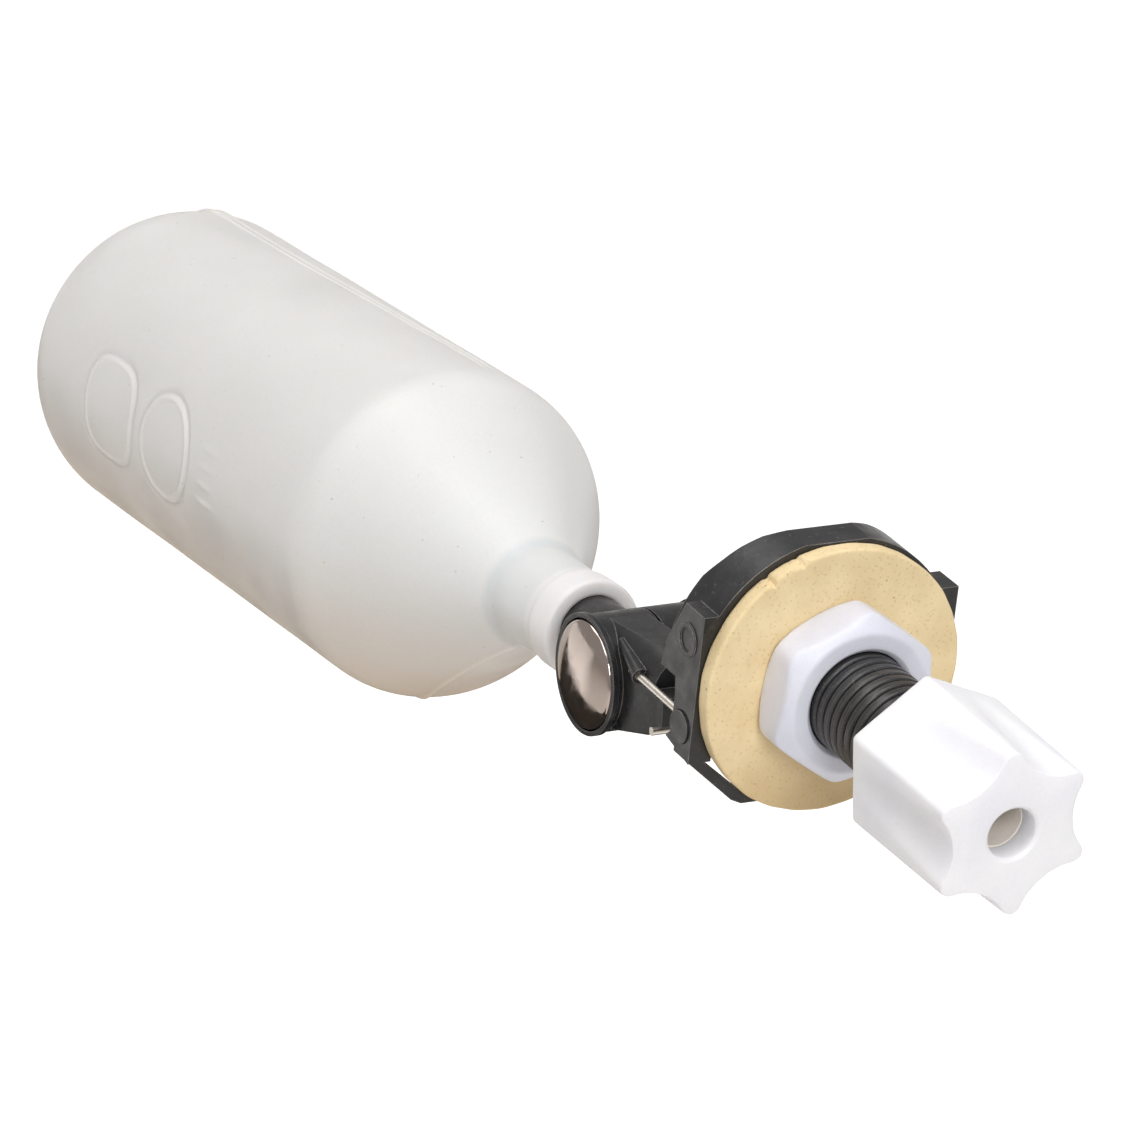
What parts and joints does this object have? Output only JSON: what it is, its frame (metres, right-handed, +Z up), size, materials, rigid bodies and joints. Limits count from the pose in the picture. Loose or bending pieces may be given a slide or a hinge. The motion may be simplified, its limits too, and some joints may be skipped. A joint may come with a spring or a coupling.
{
  "type": "float valve",
  "caption": "Miniature tank float valve: threaded inlet stem with locknut and tube fitting, gasketed round flange, hinged lever, adjustable knuckle and hollow bottle float.",
  "frame": {"origin": "centre of the gasket's sealing face, on the axis of the threaded stem", "axes": "+X out along the stem through the tank wall to the tube fitting, +Z up, Y along the lever's hinge pin; the float lies towards -X"},
  "size_m": [0.2674, 0.0508, 0.0821],
  "materials": {
    "dark_pvc": "moulded, satin gloss",
    "gasket_rubber": "dull, fine pores",
    "black_rubber": "dull",
    "white_nylon": "moulded, slightly translucent",
    "white_acetal": "moulded, smooth",
    "cream_acetal": "moulded, smooth",
    "stainless_steel": "drawn wire",
    "polished_steel": "mirror polish",
    "natural_polyethylene": "milky, waxy, blow moulded"
  },
  "bodies": {
    "valve": {"valve_body": "dark_pvc", "gasket_washer": "gasket_rubber", "orifice_nozzle": "cream_acetal", "nozzle_o_ring": "black_rubber", "hinge_pin": "stainless_steel", "pin_plugs": "dark_pvc", "hinge_spacers": "cream_acetal"},
    "lever": {"lever_arm": "dark_pvc", "seat_disc": "black_rubber", "seat_retainer": "dark_pvc", "arm_wire": "stainless_steel", "arm_cross_pin": "stainless_steel", "clamp_bolt": "stainless_steel", "clamp_nut": "stainless_steel", "friction_washer": "cream_acetal", "cap_left": "polished_steel"},
    "float": {"float_knuckle": "dark_pvc", "cap_right": "polished_steel", "plug_o_ring": "black_rubber", "float_shell": "natural_polyethylene"},
    "locknut": {"locknut": "white_nylon"},
    "ferrule": {"ferrule": "cream_acetal"},
    "tube_nut": {"compression_nut": "white_acetal"}
  },
  "joints": [
    {"name": "lever_hinge", "type": "hinge", "parent": "valve", "child": "lever", "pos_m": [-0.00555, 0, -0.0067], "axis": [0, 1, 0], "range_deg": [0, 14]},
    {"name": "float_angle", "type": "hinge", "parent": "lever", "child": "float", "pos_m": [-0.0494, 0, -0.0207], "axis": [0, 1, 0], "range_deg": [-45, 45]},
    {"name": "locknut_spin", "type": "hinge", "parent": "valve", "child": "locknut", "pos_m": [0.0036, 0, 0], "axis": [1, 0, 0], "continuous": true},
    {"name": "ferrule_travel", "type": "slide", "parent": "valve", "child": "ferrule", "axis": [1, 0, 0], "range_m": [0, 0.0057]},
    {"name": "tube_nut_spin", "type": "hinge", "parent": "ferrule", "child": "tube_nut", "pos_m": [0.0348, 0, 0], "axis": [1, 0, 0], "range_deg": [0, 1170]}
  ],
  "couplings": [
    {"joint": "ferrule_travel", "follows": "tube_nut_spin", "m_per_rad": 0.00027852}
  ]
}
